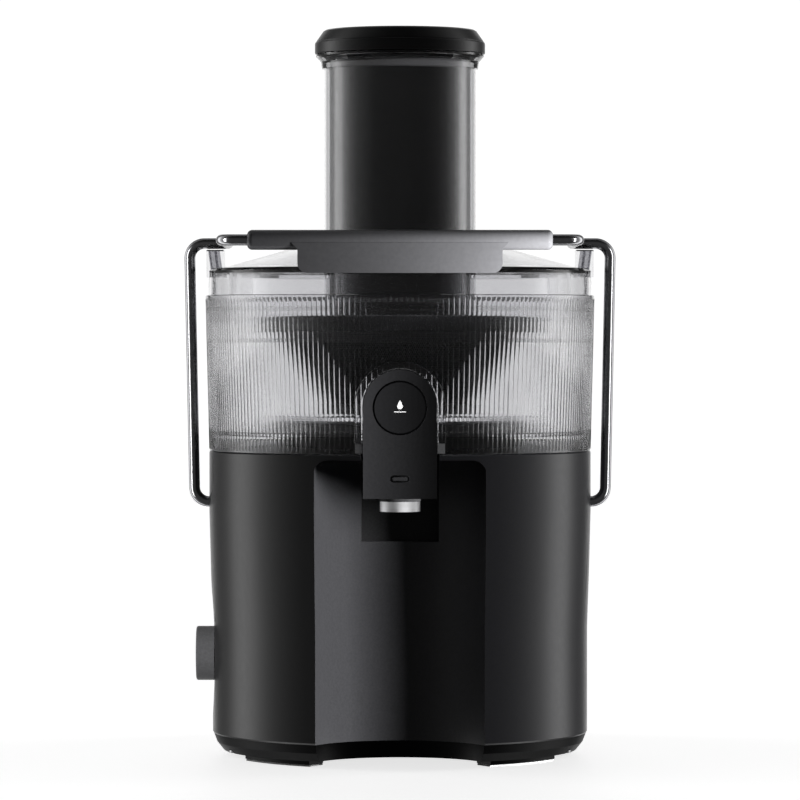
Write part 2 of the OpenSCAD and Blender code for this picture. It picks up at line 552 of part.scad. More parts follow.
module pulp_container() color([0.02, 0.02, 0.022]) place() {
  difference() {
    union() {
      rear_block(91, 66, duct_rear - 2, 36, 20.6, 150);
      rear_block(93, 64, duct_rear, 38, 150, 163);
      // finger lip at the back
      translate([0, 0, 146]) linear_extrude(4.2) { translate([-32, 140]) square([64, bin_lip - 147]);
        translate([-25, 140]) square([50, bin_lip - 140]);
        for (s = [-1, 1]) translate([s * 25, bin_lip - 7]) circle(7); }
    }
    rear_block(88.8, 68.2, duct_rear - 4.2, 33.8, 23, 151);
    rear_block(90.8, 66.2, duct_rear - 2.2, 35.8, 150.2, 170);
  }
}

motor_housing();
base_tray();
foot_pads();
housing_screws();
top_deck();
pivot_bushes();
rotary_switch();
control_board();
suppression_capacitor();
heat_sink();
interlock_switch();
upper_bracket();
lower_bracket();
stator_core();
field_windings();
upper_bush();
lower_bush();
brush_holders();
carbon_brushes();
brush_springs();
motor_dampers();
motor_bolts();
cord_gland();
shaft_seal();
collector_bowl();
spout_housing();
spout_nozzle();
spout_clips();
status_window();
button_springs();
lid_cover();
feed_chute();
lid_seal();
pulp_guide();
motor_shaft();
armature_core();
armature_windings();
commutator();
cooling_fan();
drive_coupling();
basket_hub();
grater_disc();
filter_mesh();
basket_rim();
bail_arm_left();
bail_arm_right();
bail_grip();
bail_plate();
bail_collars();
pusher_tube();
pusher_cap();
drip_stop_button();
valve_plug();
speed_knob();
knob_spindle();
pulp_container();
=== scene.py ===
import bpy, bmesh, math
import numpy as np
from mathutils import Vector, Matrix
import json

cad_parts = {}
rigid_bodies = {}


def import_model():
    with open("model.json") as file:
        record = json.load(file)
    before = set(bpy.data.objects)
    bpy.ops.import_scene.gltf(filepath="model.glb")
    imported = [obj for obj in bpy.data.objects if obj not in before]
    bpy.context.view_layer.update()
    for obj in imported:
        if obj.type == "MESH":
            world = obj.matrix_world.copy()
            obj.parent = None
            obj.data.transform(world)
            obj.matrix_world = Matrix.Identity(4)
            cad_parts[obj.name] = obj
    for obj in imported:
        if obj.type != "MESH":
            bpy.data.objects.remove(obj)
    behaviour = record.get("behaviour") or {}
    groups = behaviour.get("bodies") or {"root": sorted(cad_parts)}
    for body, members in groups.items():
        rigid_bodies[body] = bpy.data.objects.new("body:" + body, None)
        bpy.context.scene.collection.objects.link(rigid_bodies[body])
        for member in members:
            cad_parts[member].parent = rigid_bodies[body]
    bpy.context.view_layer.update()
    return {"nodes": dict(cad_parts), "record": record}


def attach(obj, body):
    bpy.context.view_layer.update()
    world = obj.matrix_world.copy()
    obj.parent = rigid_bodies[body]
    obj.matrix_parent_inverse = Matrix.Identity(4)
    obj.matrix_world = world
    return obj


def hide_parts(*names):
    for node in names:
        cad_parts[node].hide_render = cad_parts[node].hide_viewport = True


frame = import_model()
NODES = frame["nodes"]
AX = -0.0225          # Y of the drive axis in the row frame
scene = bpy.context.scene


# ---------------------------------------------------------------- materials
def tree(name):
    m = bpy.data.materials.new(name)
    m.use_nodes = True
    nt = m.node_tree
    nt.nodes.clear()
    out = nt.nodes.new("ShaderNodeOutputMaterial")
    b = nt.nodes.new("ShaderNodeBsdfPrincipled")
    nt.links.new(b.outputs[0], out.inputs[0])
    return m, nt, b


def noise(nt, scale, detail=2.0, stretch=(1, 1, 1), rot=(0, 0, 0)):
    tc = nt.nodes.new("ShaderNodeTexCoord")
    mp = nt.nodes.new("ShaderNodeMapping")
    mp.inputs["Scale"].default_value = stretch
    mp.inputs["Rotation"].default_value = rot
    n = nt.nodes.new("ShaderNodeTexNoise")
    n.inputs["Scale"].default_value = scale
    n.inputs["Detail"].default_value = detail
    nt.links.new(tc.outputs["Object"], mp.inputs[0])
    nt.links.new(mp.outputs[0], n.inputs["Vector"])
    return n.outputs[0]


def remap(nt, src, lo, hi, a=0.3, b=0.7):
    r = nt.nodes.new("ShaderNodeMapRange")
    r.inputs["From Min"].default_value = a
    r.inputs["From Max"].default_value = b
    r.inputs["To Min"].default_value = lo
    r.inputs["To Max"].default_value = hi
    nt.links.new(src, r.inputs["Value"])
    return r.outputs[0]


def tint(nt, src, c0, c1, a=0.3, b=0.7):
    r = nt.nodes.new("ShaderNodeValToRGB")
    r.color_ramp.elements[0].position = a
    r.color_ramp.elements[1].position = b
    r.color_ramp.elements[0].color = (*c0, 1)
    r.color_ramp.elements[1].color = (*c1, 1)
    nt.links.new(src, r.inputs[0])
    return r.outputs[0]


def bump(nt, b, src, strength, dist):
    n = nt.nodes.new("ShaderNodeBump")
    n.inputs["Strength"].default_value = strength
    n.inputs["Distance"].default_value = dist
    nt.links.new(src, n.inputs["Height"])
    nt.links.new(n.outputs[0], b.inputs["Normal"])


def plastic(name, c, rough, dev=0.12, grain=900, bumps=0.06, spec=0.5, coat=0.0, ior=1.49, metal=0.0):
    m, nt, b = tree(name)
    n = noise(nt, grain)
    nt.links.new(tint(nt, n, tuple(v * (1 - dev) for v in c), tuple(v * (1 + dev) for v in c)), b.inputs["Base Color"])
    nt.links.new(remap(nt, noise(nt, grain * 0.4), rough - 0.02, rough + 0.02), b.inputs["Roughness"])
    b.inputs["IOR"].default_value = ior
    b.inputs["Metallic"].default_value = metal
    b.inputs["Specular IOR Level"].default_value = spec
    if coat:
        b.inputs["Coat Weight"].default_value = coat
        b.inputs["Coat Roughness"].default_value = 0.12
    if bumps:
        bump(nt, b, noise(nt, grain * 2.2), bumps, 0.0002)
    return m


def metal(name, c, rough, stretch=(1, 1, 1), scale=400, dev=0.1, bumps=0.03, aniso=0.0):
    m, nt, b = tree(name)
    n = noise(nt, scale, 3.0, stretch)
    nt.links.new(tint(nt, n, tuple(v * (1 - dev) for v in c), tuple(min(1, v * (1 + dev)) for v in c)), b.inputs["Base Color"])
    nt.links.new(remap(nt, n, rough * 0.85, rough * 1.15), b.inputs["Roughness"])
    b.inputs["Metallic"].default_value = 1.0
    if aniso:
        b.inputs["Anisotropic"].default_value = aniso
    if bumps:
        bump(nt, b, n, bumps, 0.0001)
    return m


def clear(name, c=(0.93, 0.93, 0.94), rough=0.02, ior=1.49, grain=60, dev=0.02):
    m, nt, b = tree(name)
    n = noise(nt, grain)
    nt.links.new(tint(nt, n, tuple(v * (1 - dev) for v in c), c), b.inputs["Base Color"])
    nt.links.new(remap(nt, n, rough * 0.7, rough * 1.3), b.inputs["Roughness"])
    b.inputs["IOR"].default_value = ior
    b.inputs["Transmission Weight"].default_value = 1.0
    return m


M = {}
M["housing_black"] = plastic("housing_black", (0.004, 0.004, 0.0046), 0.30)
# Lighter copy of the housing black for the alcove walls: painted light, so the key lamp brightens the alcove while the
# outer housing stays dark.
M["bay_black"] = plastic("bay_black", (0.042, 0.042, 0.045), 0.45)
M["tray_black"] = plastic("tray_black", (0.005, 0.005, 0.0056), 0.42, spec=0.10)
M["foot_grey"] = plastic("foot_grey", (0.62, 0.62, 0.62), 0.7, bumps=0.1)
M["screw_steel"] = metal("screw_steel", (0.45, 0.45, 0.46), 0.32)
M["deck_black"] = plastic("deck_black", (0.008, 0.008, 0.009), 0.30)
M["bush_black"] = plastic("bush_black", (0.012, 0.012, 0.012), 0.35)
M["switch_plastic"] = plastic("switch_plastic", (0.02, 0.02, 0.021), 0.4)
M["board_green"] = plastic("board_green", (0.012, 0.09, 0.03), 0.45)
M["capacitor_yellow"] = plastic("capacitor_yellow", (0.55, 0.38, 0.04), 0.4)
M["aluminium_plain"] = metal("aluminium_plain", (0.62, 0.62, 0.63), 0.38)
M["lamination"] = metal("lamination", (0.28, 0.28, 0.29), 0.42, stretch=(0.02, 0.02, 4), scale=300)
M["copper_wire"] = metal("copper_wire", (0.62, 0.28, 0.12), 0.3, stretch=(1, 1, 8))
M["bronze"] = metal("bronze", (0.5, 0.33, 0.14), 0.35)
M["carbon"] = plastic("carbon", (0.02, 0.02, 0.02), 0.6)
M["spring_steel"] = metal("spring_steel", (0.5, 0.5, 0.51), 0.25)
M["rubber_black"] = plastic("rubber_black", (0.014, 0.014, 0.014), 0.75, bumps=0.12)
M["clear_bowl"] = clear("clear_bowl", (0.875, 0.875, 0.885), 0.02)
M["clear_lid"] = clear("clear_lid", (0.86, 0.86, 0.87), 0.015)
M["clear_chute"] = clear("clear_chute", (0.92, 0.92, 0.93), 0.01)
M["spout_black"] = plastic("spout_black", (0.030, 0.030, 0.032), 0.36)
M["nozzle_steel"] = metal("nozzle_steel", (0.70, 0.70, 0.71), 0.5, stretch=(0.02, 0.02, 1), scale=900, aniso=0.4)
M["clip_grey"] = plastic("clip_grey", (0.13, 0.13, 0.135), 0.5)
M["window_grey"] = plastic("window_grey", (0.017, 0.017, 0.018), 0.35)
M["silicone_grey"] = clear("silicone_grey", (0.90, 0.90, 0.90), 0.25, ior=1.03)
M["shaft_steel"] = metal("shaft_steel", (0.6, 0.6, 0.61), 0.2, stretch=(1, 1, 0.05))
M["basket_black"] = plastic("basket_black", (0.010, 0.010, 0.011), 0.28)
M["bail_wire"] = metal("bail_wire", (0.46, 0.46, 0.475), 0.2, scale=120, dev=0.04, bumps=0.0)
M["bail_bar"] = plastic("bail_bar", (0.135, 0.135, 0.142), 0.36, dev=0.05, grain=500, bumps=0.02, metal=0.5)
M["pusher_black"] = plastic("pusher_black", (0.0085, 0.0085, 0.0095), 0.25)
M["cap_black"] = plastic("cap_black", (0.0095, 0.0095, 0.0105), 0.34)
M["button_black"] = plastic("button_black", (0.020, 0.020, 0.0215), 0.34)
M["knob_black"] = plastic("knob_black", (0.085, 0.085, 0.088), 0.42, spec=0.15)
M["bin_black"] = plastic("bin_black", (0.0105, 0.0105, 0.0118), 0.40)
M["icon_white"] = plastic("icon_white", (0.62, 0.62, 0.62), 0.5, dev=0.02)
# Smoky grey clear for thin strips on the lid's lugs: a painted dark refraction band.
M["smoked_rib"] = clear("smoked_rib", (0.38, 0.38, 0.40), 0.08, ior=1.12)
# Grey for the spout recess walls: painted fill light inside the recess, which no lamp reaches; it is also the own
# colour of the seal ring over the nozzle.
M["recess_black"] = plastic("recess_black", (0.055, 0.055, 0.057), 0.5, spec=0.2)


def basket_steel():
    """Bright steel pierced by rows of small holes."""
    m, nt, b = tree("basket_steel")
    tc = nt.nodes.new("ShaderNodeTexCoord")
    mp = nt.nodes.new("ShaderNodeMapping")
    mp.inputs["Location"].default_value = (0, -AX, 0)
    nt.links.new(tc.outputs["Object"], mp.inputs[0])
    sep = nt.nodes.new("ShaderNodeSeparateXYZ")
    nt.links.new(mp.outputs[0], sep.inputs[0])

    def math_node(op, a, b_=None):
        n = nt.nodes.new("ShaderNodeMath")
        n.operation = op
        for i, v in enumerate((a, b_)):
            if v is None:
                continue
            if isinstance(v, (int, float)):
                n.inputs[i].default_value = v
            else:
                nt.links.new(v, n.inputs[i])
        return n.outputs[0]

    ang = math_node("MULTIPLY", math_node("ARCTAN2", sep.outputs[1], sep.outputs[0]), 110.0)
    row = math_node("MULTIPLY", sep.outputs[2], 2 * math.pi / 0.0024)
    s = math_node("MULTIPLY", math_node("SINE", ang), math_node("SINE", row))
    hole = math_node("GREATER_THAN", s, 0.1)
    mix = nt.nodes.new("ShaderNodeMix")
    mix.data_type = "RGBA"
    mix.inputs["A"].default_value = (0.30, 0.30, 0.31, 1)
    mix.inputs["B"].default_value = (0.01, 0.01, 0.01, 1)
    nt.links.new(hole, mix.inputs["Factor"])
    nt.links.new(mix.outputs["Result"], b.inputs["Base Color"])
    nt.links.new(remap(nt, noise(nt, 500), 0.26, 0.34), b.inputs["Roughness"])
    b.inputs["Metallic"].default_value = 1.0
    bump(nt, b, s, 0.15, 0.0003)
    return m


M["basket_steel"] = basket_steel()

rec = frame["record"]
slot_of = {p["node"]: p["material_slot"] for p in rec.get("subparts", [])}


def paint(obj, slot):
    obj.data.materials.clear()
    obj.data.materials.append(M[slot])


for n, o in NODES.items():
    s = slot_of.get(n)
    if s in M:
        o.data.materials.clear()
        o.data.materials.append(M[s])


# ---------------------------------------------------------------- mesh tools
def make(name, verts, faces, slot, body, smooth=True, angle=35, replaces=()):
    me = bpy.data.meshes.new(name)
    me.from_pydata([tuple(v) for v in verts], [], [tuple(f) for f in faces])
    me.validate()
    bm = bmesh.new()
    bm.from_mesh(me)
    bmesh.ops.recalc_face_normals(bm, faces=bm.faces)
    bm.to_mesh(me)
    bm.free()
    o = bpy.data.objects.new(name, me)
    scene.collection.objects.link(o)
    if smooth:
        me.shade_smooth()
        me.set_sharp_from_angle(angle=math.radians(angle))
    o.data.materials.append(M[slot])
    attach(o, body)
    if replaces:
        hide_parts(*replaces)
    return o


def loops_mesh(loops, closed_profile=True):
    """Rings of equal length, joined one to the next; the last joins the first if closed_profile."""
    n = len(loops[0])
    verts = [p for l in loops for p in l]
    faces = []
    k = len(loops)
    for i in range(k if closed_profile else k - 1):
        a, b = i * n, ((i + 1) % k) * n
        for j in range(n):
            faces.append((a + j, a + (j + 1) % n, b + (j + 1) % n, b + j))
    return verts, faces


def merge(parts):
    verts, faces = [], []
    for v, f in parts:
        o = len(verts)
        verts += list(v)
        faces += [tuple(i + o for i in q) for q in f]
    return verts, faces


def lathe(profile, n=192, cy=AX, cx=0.0):
    """profile [(r, z)] in mm about the drive axis; points with r = 0 close the ends."""
    loops = []
    for r, z in profile:
        loops.append([(cx + r / 1000 * math.sin(2 * math.pi * j / n), cy - r / 1000 * math.cos(2 * math.pi * j / n), z / 1000) for j in range(n)])
    return loops_mesh(loops)


# ---------------------------------------------------------------- clear fluted bowl
def rear_path(inset):
    """Half of the duct's outline, from its front end to the middle of its rear, as (x, y, nx, ny) about the drive axis, mm."""
    x, r, yb = 96.2 - inset, 38 - inset, 152 - inset
    pts = []
    y0, yc, xc = 44.0, 114.0, 58.2
    n1, n2, n3 = 24 * 8, 21 * 8, 20 * 8
    for i in range(n1):
        pts.append((x, y0 + (yc - y0) * rib(i, 0)[1] / n1, 1, 0))
    for i in range(n2):
        a = math.pi / 2 * rib(i, 0)[1] / n2
        pts.append((xc + r * math.cos(a), yc + r * math.sin(a), math.cos(a), math.sin(a)))
    for i in range(n3):
        pts.append((xc * (1 - rib(i, 0)[1] / n3), yb, 0, 1))
    return pts


def bowl_r(z):
    return 104.8 + 2.1 * (z - 167.4) / 84.9


RIB_T = (0.0, 0.34, 0.68, 0.733, 0.787, 0.84, 0.893, 0.947)


def rib(i, flute):
    """How far sample i of a flute lies below the crest, and where along the flute it stands."""
    t = RIB_T[i % 8]
    up = 0.0 if t < 0.68 else math.sin(math.pi * (t - 0.68) / 0.32) ** 2
    return flute * (1 - up), (i // 8 + t) * 8


def shell_ring(z, inset, flute, zr=None):
    """One ring of the bowl and duct wall: round in front, then along the duct. flute is the rib height in mm."""
    pts = []
    R = bowl_r(z) - inset
    side = 96.2 - inset
    end = math.pi - math.asin(side / R)
    n = 144 * 8
    for i in range(n):
        d, k = rib(i, flute)
        ph = -end + 2 * end * k / n
        pts.append(((R - d) * math.sin(ph), -(R - d) * math.cos(ph), z))
    zz = z if zr is None else zr
    half = rear_path(inset)
    ystart = -R * math.cos(end)
    k0 = ystart
    right = []
    for i, (x, y, nx, ny) in enumerate(half):
        if nx == 1:
            y = k0 + (114.0 - k0) * (y - 44.0) / 70.0
        d, _ = rib(i, flute)
        right.append((x - d * nx, y - d * ny, zz if i else z))
    left = [(-x, y, q) for x, y, q in right[1:]][::-1]
    mid = (0, 152 - inset - flute * 0.5, zz)
    return pts + right + [mid] + left


def mm(p):
    return (p[0] / 1000, p[1] / 1000 + AX, p[2] / 1000)


def clear_bowl():
    parts = []
    fl = 0.17
    rings = []
    for z, f, zr in ((167.4, 0.0, 165.0), (168.2, 0.0, 165.8), (168.8, fl, 166.4), (179.2, fl, None), (189.8, fl, None), (200, fl, None), (230, fl, None), (249.6, fl, None), (250.4, 0.0, None), (252.0, 0.0, None)):
        rings.append(shell_ring(z, 0, f, zr))
    rings.append(shell_ring(252.3, 0.3, 0, None))
    rings.append(shell_ring(252.3, 2.2, 0, None))
    for z in (252.0, 230, 200, 189.8, 179.2):
        rings.append(shell_ring(z, 2.4, 0, None))
    rings.append(shell_ring(167.4, 2.4, 0, 165.0))
    v, f = loops_mesh([[mm(q) for q in r] for r in rings])
    # juice outlet behind the spout: rings 3 and 4 outside, 13 and 12 inside
    n = len(rings[0])
    o0, o1, i0, i1 = 3, 4, len(rings) - 2, len(rings) - 3
    cols = [j for j in range(n) if abs(rings[o0][j][0]) < 7.3 and rings[o0][j][1] < 0]
    a, b = cols[0], cols[-1]
    gone = set()
    for j in range(a, b):
        gone.add(o0 * n + j)
        gone.add(i1 * n + j)
    f = [q for k, q in enumerate(f) if k not in gone]
    for j in range(a, b):
        f.append((o0 * n + j, o0 * n + j + 1, i0 * n + j + 1, i0 * n + j))
        f.append((o1 * n + j + 1, o1 * n + j, i1 * n + j, i1 * n + j + 1))
    f.append((o0 * n + a, i0 * n + a, i1 * n + a, o1 * n + a))
    f.append((o0 * n + b, o1 * n + b, i1 * n + b, i0 * n + b))
    parts.append((v, f))
    # floor, inner wall and collar
    parts.append(lathe([(102.0, 176.2), (102.0, 178.3), (71.6, 178.5), (71.4, 178.7), (71.4, 186.2), (71.1, 186.5), (30.6, 186.5), (30.4, 186.7), (30.4, 188.8),
                        (30.2, 189), (28.2, 189), (28, 188.8), (28, 184.2), (69, 184.2), (69, 176.0), (101.8, 176.0)], 240))
    # low wall between bowl and duct
    loops = []
    n = 96
    a0 = math.radians(114.6)
    for i in range(n + 1):
        ph = a0 + (2 * math.pi - 2 * a0) * i / n
        ring = []
        for r, z in ((102.3, 178.6), (102.3, 167.6), (104.7, 167.6), (105.9, 225.7), (105.6, 226), (103.8, 226), (103.5, 225.7)):
            ring.append(mm((r * math.sin(ph), -r * math.cos(ph), z)))
        loops.append(ring)
    v, f = loops_mesh(loops, closed_profile=False)
    k = len(loops[0])
    f = list(f) + [tuple(range(k))[::-1], tuple(len(v) - k + j for j in range(k))]
    parts.append((v, f))
    v, f = merge(parts)
    return make("juice_bowl", v, f, "clear_bowl", "base", angle=28, replaces=("collector_bowl",))


def spout_collar():
    """Clear arch that stands out of the bowl round the spout."""
    def outline(r, z0, n=40):
        pts = [(-r, z0), (-r, 180)]
        pts += [(-r * math.cos(math.pi * i / n), 192.8 + r * math.sin(math.pi * i / n)) for i in range(n + 1)]
        return pts + [(r, 180), (r, z0)]

    def back(x):
        return -math.sqrt(104.9 ** 2 - x * x)
    out, inn = outline(24.3, 173.5), outline(19.9, 173.5)
    outb, innb = outline(23.8, 173.5), outline(20.4, 173.5)
    rows = []
    for (ox, oz), (ix, iz), (px, pz), (qx, qz) in zip(out, inn, outb, innb):
        rows.append([mm((ox, back(ox), oz)), mm((ox, -109.0, oz)), mm((px, -109.5, pz)), mm((qx, -109.5, qz)), mm((ix, -109.0, iz)), mm((ix, back(ix), iz))])
    v, f = loops_mesh(rows, closed_profile=False)
    k = 6
    f = list(f) + [tuple(range(k))[::-1], tuple(len(v) - k + j for j in range(k))]
    return make("spout_collar", v, f, "clear_bowl", "base", angle=30)


clear_bowl()
spout_collar()


# ---------------------------------------------------------------- pieces cut from the frame with softened edges
def softened(node, name, width, slot, body, segs=2, angle=32, dissolve=0.8, merge_mm=0.002):
    me = NODES[node].data.copy()
    me.name = name
    o = bpy.data.objects.new(name, me)
    scene.collection.objects.link(o)
    bm = bmesh.new()
    bm.from_mesh(me)
    bmesh.ops.remove_doubles(bm, verts=bm.verts, dist=merge_mm / 1000)
    bmesh.ops.dissolve_limit(bm, angle_limit=math.radians(dissolve), verts=bm.verts, edges=bm.edges)
    bmesh.ops.recalc_face_normals(bm, faces=bm.faces)
    bm.to_mesh(me)
    bm.free()
    if me.has_custom_normals:
        me.free_custom_normals() if hasattr(me, "free_custom_normals") else None
    for a in list(me.attributes):
        if a.name == "custom_normal":
            me.attributes.remove(a)
    me.shade_smooth()
    md = o.modifiers.new("edges", "BEVEL")
    md.width = width / 1000
    md.segments = segs
    md.limit_method = "ANGLE"
    md.angle_limit = math.radians(angle)
    md.harden_normals = True
    md.miter_outer = "MITER_SHARP"
    md.use_clamp_overlap = True
    me.materials.clear()
    me.materials.append(M[slot])
    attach(o, body)
    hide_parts(node)
    return o


def crown(o, y_front, step=3.0):
    """Bends a front face to the round of the housing: it falls back by x squared over 236 mm."""
    bm = bmesh.new()
    bm.from_mesh(o.data)
    k = -18.0
    while k <= 18.01:
        bmesh.ops.bisect_plane(bm, geom=bm.verts[:] + bm.edges[:] + bm.faces[:], plane_co=(k / 1000, 0, 0), plane_no=(1, 0, 0), dist=1e-6)
        k += step
    for v in bm.verts:
        if (v.co.y - AX) * 1000 < y_front:
            v.co.y += (v.co.x * 1000) ** 2 / 236000.0
    bm.to_mesh(o.data)
    bm.free()


shell = softened("spout_housing", "spout_shell", 0.4, "spout_black", "base", segs=2)
hs = softened("motor_housing", "motor_shell", 0.45, "housing_black", "base")
hs.data.materials.append(M["bay_black"])
hs.data.materials.append(M["recess_black"])
for poly in hs.data.polygons:
    x, y, z = (poly.center[0] * 1000, (poly.center[1] - AX) * 1000, poly.center[2] * 1000)
    # Alcove wall faces take the lighter housing copy: painted light on the alcove.
    if z < 164 and abs(math.hypot(x, y + 107.5) - 47.5) < 0.5 and abs(poly.normal[2]) < 0.3 and y > -98:
        poly.material_index = 1
    # Spout recess faces take the grey: painted fill light in the recess.
    if abs(x) < 21.2 and z > 118 and -120 < y < -53 and (abs(abs(x) - 20.8) < 0.2 or abs(z - 119.5) < 0.2 or abs(y + 54) < 0.3):
        poly.material_index = 2
softened("bail_plate", "grip_plate", 0.5, "bail_bar", "bail", segs=2)
softened("speed_knob", "speed_dial", 0.35, "knob_black", "knob")
btn = softened("drip_stop_button", "drop_button", 0.3, "button_black", "button")
crown(shell, -116.9)
crown(btn, -117.0)


# ---------------------------------------------------------------- printed marks
def drop_icon():
    n = 40
    y = -117.83
    verts, faces = [], []
    ring = []
    for i in range(n):
        t = 2 * math.pi * i / n
        r = 1.5
        x = r * math.sin(t)
        z = -r * math.cos(t)
        if z > 0.2:
            # pull the upper half out to the drop's point
            k = (z - 0.2) / (r - 0.2)
            x *= (1 - k) ** 0.55 * 1.02
            z = 0.1 + k * (5.0 - r - 0.1)
        ring.append((x, z + 191.55 + r))
    front = [(x, y - 0.04, z) for x, z in ring]
    rear = [(x, y + 0.03, z) for x, z in ring]
    verts = [mm(q) for q in front + rear]
    faces = [tuple(range(n)), tuple(range(n, 2 * n))[::-1]] + [(i, (i + 1) % n, n + (i + 1) % n, n + i) for i in range(n)]
    bar = [(-3.1, 189.95), (3.1, 189.95), (3.1, 190.45), (-3.1, 190.45)]
    bv = [mm((x, y - 0.04, z)) for x, z in bar] + [mm((x, y + 0.03, z)) for x, z in bar]
    bf = [(0, 1, 2, 3), (7, 6, 5, 4)] + [(i, (i + 1) % 4, 4 + (i + 1) % 4, 4 + i) for i in range(4)]
    v, f = merge([(verts, faces), (bv, bf)])
    make("drop_symbol", v, f, "icon_white", "button", smooth=False)


drop_icon()


def slab(corners, y0, y1):
    """A flat piece: corners [(x, z)] in mm, from y0 to y1 about the drive axis."""
    n = len(corners)
    v = [mm((x, y0, z)) for x, z in corners] + [mm((x, y1, z)) for x, z in corners]
    f = [tuple(range(n)), tuple(range(n, 2 * n))[::-1]] + [(i, (i + 1) % n, n + (i + 1) % n, n + i) for i in range(n)]
    return v, f


# Thin smoky strips on the front of the lid's lugs: a painted dark refraction band, not ribs of the part.
band_slabs = []
for sg in (-1, 1):
    for x0, x1, x2, x3, y in ((104.9, 98.5, 96.6, 103.0, -14.1), (101.6, 100.2, 98.4, 99.8, -14.6), (104.4, 103.6, 101.8, 102.6, -14.6)):
        c4 = [(sg * x0, 276.4), (sg * x1, 276.4), (sg * x2, 262.6), (sg * x3, 262.6)]
        band_slabs.append(slab(c4, y - 0.35, y))
v_, f_ = merge(band_slabs)
make("lug_ribs", v_, f_, "smoked_rib", "base", smooth=False)

# seal ring over the nozzle
v_, f_ = lathe([(10.72, 142.75), (10.95, 142.75), (10.95, 144.35), (10.72, 144.35)], 64, cy=AX - 0.105)
make("nozzle_ring", v_, f_, "recess_black", "base")


def patch(phi0, phi1, z0, z1, r, n=6):
    """A thin printed patch on the housing; angles in degrees round from the front, to the left if negative."""
    rows = []
    for i in range(n + 1):
        a = math.radians(phi0 + (phi1 - phi0) * i / n)
        rows.append([mm((q * math.sin(a), -q * math.cos(a), z)) for q, z in ((r + 0.05, z0), (r + 0.05, z1), (r - 0.3, z1), (r - 0.3, z0))])
    v, f = loops_mesh(rows, closed_profile=False)
    return v, list(f) + [(0, 1, 2, 3), tuple(len(v) - 1 - j for j in range(4))]


v_, f_ = merge([patch(-79.3, -78.4, 74.2, 77.6, 103.15)])
make("dial_mark", v_, f_, "icon_white", "base", smooth=False)


def cap():
    prof = [(0.01, 398.0), (39.4, 398.0), (40.9, 397.8), (42.1, 397.1), (45.7, 392.0), (45.95, 391.55), (45.9, 391.3), (46.4, 391.0),
            (46.7, 390.4), (46.75, 389.6), (46.75, 385.1), (46.65, 384.88), (46.4, 384.8), (39.0, 384.8), (38.85, 385.0), (38.85, 392.0), (0.01, 392.0)]
    v, f = lathe(prof, 256)
    make("cap_shell", v, f, "cap_black", "pusher", angle=18, replaces=("pusher_cap",))


cap()


# A near-black ring set just behind the button's face in the gap round it: painted shade in the gap.
def gap_shade_ring():
    rows = []
    for i in range(128):
        a = 2 * math.pi * i / 128
        rows.append([mm((q * math.cos(a), y + (q * math.cos(a)) ** 2 / 236, 192.3 + q * math.sin(a))) for q, y in ((13.46, -117.7), (14.75, -117.7), (14.75, -117.2), (13.46, -117.2))])
    v, f = closed_band(rows)
    make("button_gap", v, f, "gap_black", "base", smooth=False)


def closed_band(rows):
    """Loops joined one to the next and the last to the first."""
    n, k = len(rows), len(rows[0])
    v = [q for r_ in rows for q in r_]
    f = [(i * k + j, ((i + 1) % n) * k + j, ((i + 1) % n) * k + (j + 1) % k, i * k + (j + 1) % k) for i in range(n) for j in range(k)]
    return v, f


# foot of the basket's hub, and the thick lip inside the chute's mouth
v_, f_ = lathe([(37.5, 187.3), (40.0, 187.3), (40.0, 190.15), (37.5, 190.15)], 96)
make("basket_foot", v_, f_, "basket_black", "rotor")
M["lip_grey"] = plastic("lip_grey", (0.020, 0.020, 0.021), 0.3)
v_, f_ = lathe([(38.95, 376.2), (39.2, 376.2), (39.2, 381.4), (38.95, 381.4)], 192)
make("chute_lip", v_, f_, "lip_grey", "base")
# Near-black for the ring in the button gap: painted shade.
M["gap_black"] = plastic("gap_black", (0.0015, 0.0015, 0.0016), 0.7, spec=0.02)
gap_shade_ring()


# ---------------------------------------------------------------- studio
def straight(nt, lp):
    """1 where the backdrop is looked at directly or through clear plastic, 0 in reflections and for lighting."""
    a = nt.nodes.new("ShaderNodeMath"); a.operation = "MAXIMUM"
    nt.links.new(lp.outputs["Is Camera Ray"], a.inputs[0])
    nt.links.new(lp.outputs["Is Transmission Ray"], a.inputs[1])
    d = nt.nodes.new("ShaderNodeMath"); d.operation = "ADD"
    nt.links.new(lp.outputs["Glossy Depth"], d.inputs[0])
    nt.links.new(lp.outputs["Diffuse Depth"], d.inputs[1])
    less = nt.nodes.new("ShaderNodeMath"); less.operation = "LESS_THAN"; less.inputs[1].default_value = 0.5
    nt.links.new(d.outputs[0], less.inputs[0])
    m = nt.nodes.new("ShaderNodeMath"); m.operation = "MULTIPLY"
    nt.links.new(a.outputs[0], m.inputs[0])
    nt.links.new(less.outputs[0], m.inputs[1])
    return m.outputs[0]


